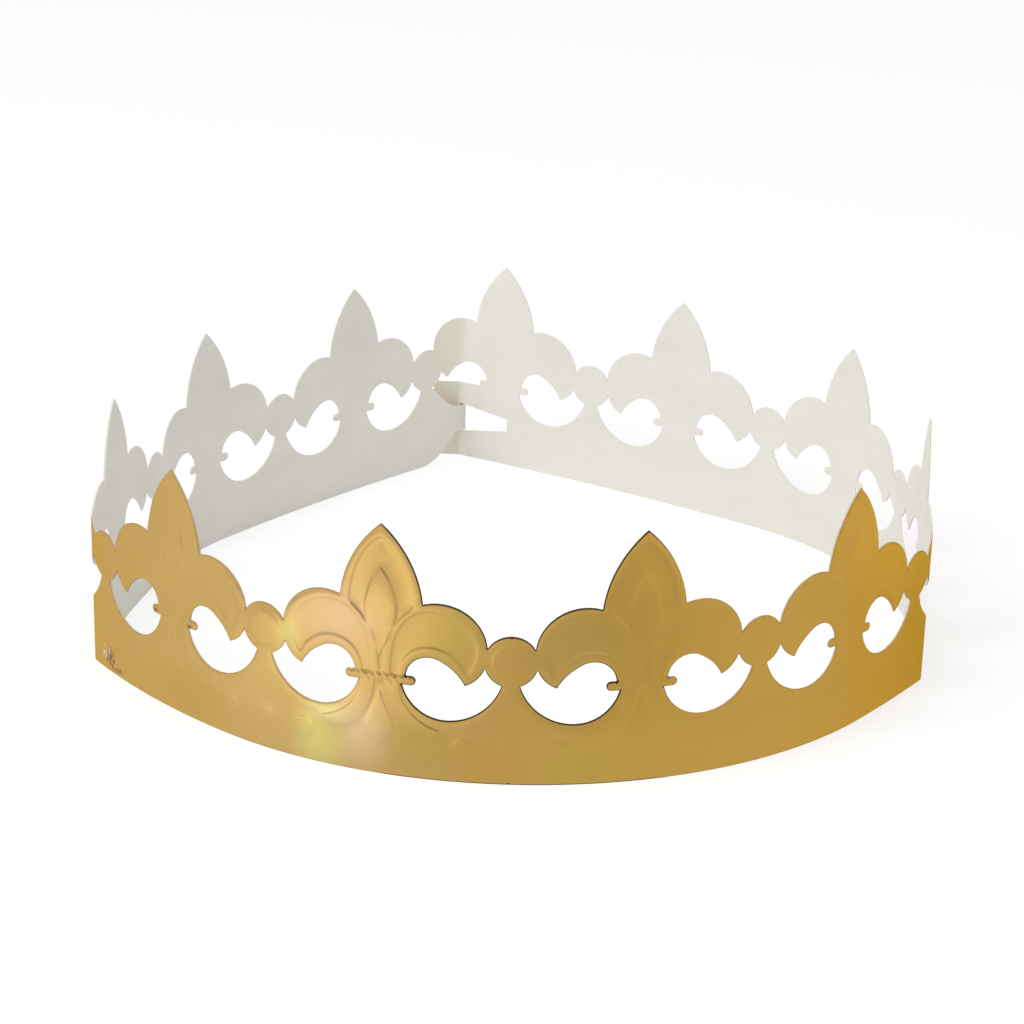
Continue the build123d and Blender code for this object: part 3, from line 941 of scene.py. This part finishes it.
# Lighter and darker patches of floor that the foil mirrors: place, reach, soft share and change
FLOOR_MIRRORED = 0.93
FLOOR_PATCHES = (
    ((-0.092, -0.15), (0.083, 0.083), 0.85, 0.4),
    ((0.07, 0.16), (0.1, 0.1), 0.9, 0.4),
    ((-0.17, 0.13), (0.08, 0.08), 0.9, 0.4),
    ((0.19, 0.0), (0.08, 0.1), 0.9, 0.12),
    ((0.055, -0.18), (0.08, 0.08), 0.8, -0.12),
    ((-0.19, -0.15), (0.055, 0.055), 0.8, -0.25),
)


def place_camera(centre):
    camera = bpy.data.objects.new("camera", bpy.data.cameras.new("camera"))
    bpy.context.scene.collection.objects.link(camera)
    camera.data.sensor_width = SENSOR
    camera.data.lens = FOCAL_PIXELS / IMAGE_PIXELS * SENSOR
    aim = Vector((VIEW_CENTRE[0] - centre[0], VIEW_CENTRE[1] - centre[1], 0)) * MM
    turn, tilt, roll = (math.radians(a) for a in (VIEW_TURN, VIEW_ELEVATION, VIEW_ROLL))
    ahead = Vector((-math.sin(turn) * math.cos(tilt), math.cos(turn) * math.cos(tilt), -math.sin(tilt)))
    right = Vector((math.cos(turn), math.sin(turn), 0))
    up = right.cross(ahead)
    x_axis = right * math.cos(roll) + up * math.sin(roll)
    y_axis = up * math.cos(roll) - right * math.sin(roll)
    turned = Matrix((x_axis, y_axis, -ahead)).transposed()
    camera.matrix_world = Matrix.Translation(aim - ahead * VIEW_DISTANCE * MM) @ turned.to_4x4()
    camera.data.clip_start = 0.01
    bpy.context.scene.camera = camera


def add_lamp(name, place, aim, size, power):
    """A round soft lamp that points at a place."""
    lamp = bpy.data.lights.new(name, "AREA")
    lamp.shape, lamp.size, lamp.energy = "DISK", size, power
    holder = bpy.data.objects.new(name, lamp)
    bpy.context.scene.collection.objects.link(holder)
    holder.location = place
    holder.rotation_euler = (Vector(aim) - Vector(place)).to_track_quat("-Z", "Y").to_euler()


def ray(kind):
    """Mask of one kind of ray."""
    return Sock.node("ShaderNodeLightPath", out=f"Is {kind} Ray")


def white_room():
    """White surround. Behind the camera the foil mirrors a darker room, as its rolled edges show."""
    world = bpy.data.worlds.new("studio")
    bpy.context.scene.world = world
    world.use_nodes = True
    Sock.tree = world.node_tree
    Sock.tree.nodes.clear()
    camera_ray, glossy_ray, clear_ray = ray("Camera"), ray("Glossy"), ray("Transmission")
    heading = Sock.node("ShaderNodeTexCoord", out="Generated")
    facing = Sock.node("ShaderNodeVectorMath", {"operation": "DOT_PRODUCT"}, out="Value",
                       i0=heading, i1=BEHIND_CAMERA)
    dark_side = facing.ramp(0.72, 0.95) * glossy_ray * 0.35
    seen = (camera_ray + glossy_ray + clear_ray).clamped()
    background = Sock.node("ShaderNodeBackground", Strength=seen * (1 - dark_side) + (1 - seen) * SKY_LEVEL)
    Sock.node("ShaderNodeOutputWorld", out=None, Surface=background)


def white_floor():
    """Pale floor that keeps the crown's shadow."""
    bpy.ops.mesh.primitive_plane_add(size=FLOOR_SIZE, location=(0, 0, -FLOOR_GAP))
    floor = bpy.context.active_object
    floor.name = "floor"
    material = bpy.data.materials.new("white_floor")
    material.use_nodes = True
    Sock.tree = material.node_tree
    Sock.tree.nodes.clear()
    camera_ray, glossy_ray, clear_ray = ray("Camera"), ray("Glossy"), ray("Transmission")
    place = Sock.node("ShaderNodeTexCoord", out="Object")
    across = Sock.node("ShaderNodeSeparateXYZ", out="X", Vector=place)
    away = Sock.node("ShaderNodeSeparateXYZ", out="Y", Vector=place)
    reflected = FLOOR_MIRRORED - across.ramp(-0.075, 0.0) * 0.15
    for middle, reach, soft, change in FLOOR_PATCHES:
        reflected = reflected + spot_mask(across, away, middle, reach, soft) * change
    reflected_ray = (glossy_ray + clear_ray).clamped()
    glow = Sock.node("ShaderNodeEmission", Strength=camera_ray * FLOOR_GLOW + reflected_ray * reflected)
    colour = mix(reflected_ray, mix(camera_ray, FLOOR_WHITE, FLOOR_SEEN), (0, 0, 0, 1))
    matt = Sock.node("ShaderNodeBsdfDiffuse", Color=colour)
    both = Sock.node("ShaderNodeAddShader", i0=glow, i1=matt)
    Sock.node("ShaderNodeOutputMaterial", out=None, Surface=both)
    # The glow depends on the kind of ray, so it isn't sampled as a lamp
    material.cycles.emission_sampling = "NONE"
    floor.data.materials.append(material)


strip, centre = make_strip()
for finish in (gold_foil(), board(), cut_edge()):
    strip.data.materials.append(finish)
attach(strip, "root")
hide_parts("crown_strip")
place_camera(centre)
white_room()
white_floor()
add_lamp("key", (-0.75, -0.55, 1.1), (0, 0, 0.02), 0.9, KEY_WATTS)
add_lamp("fill", (0.9, -0.5, 0.8), (0, 0, 0.02), 1.0, FILL_WATTS)
bpy.context.scene.view_settings.view_transform = "Standard"
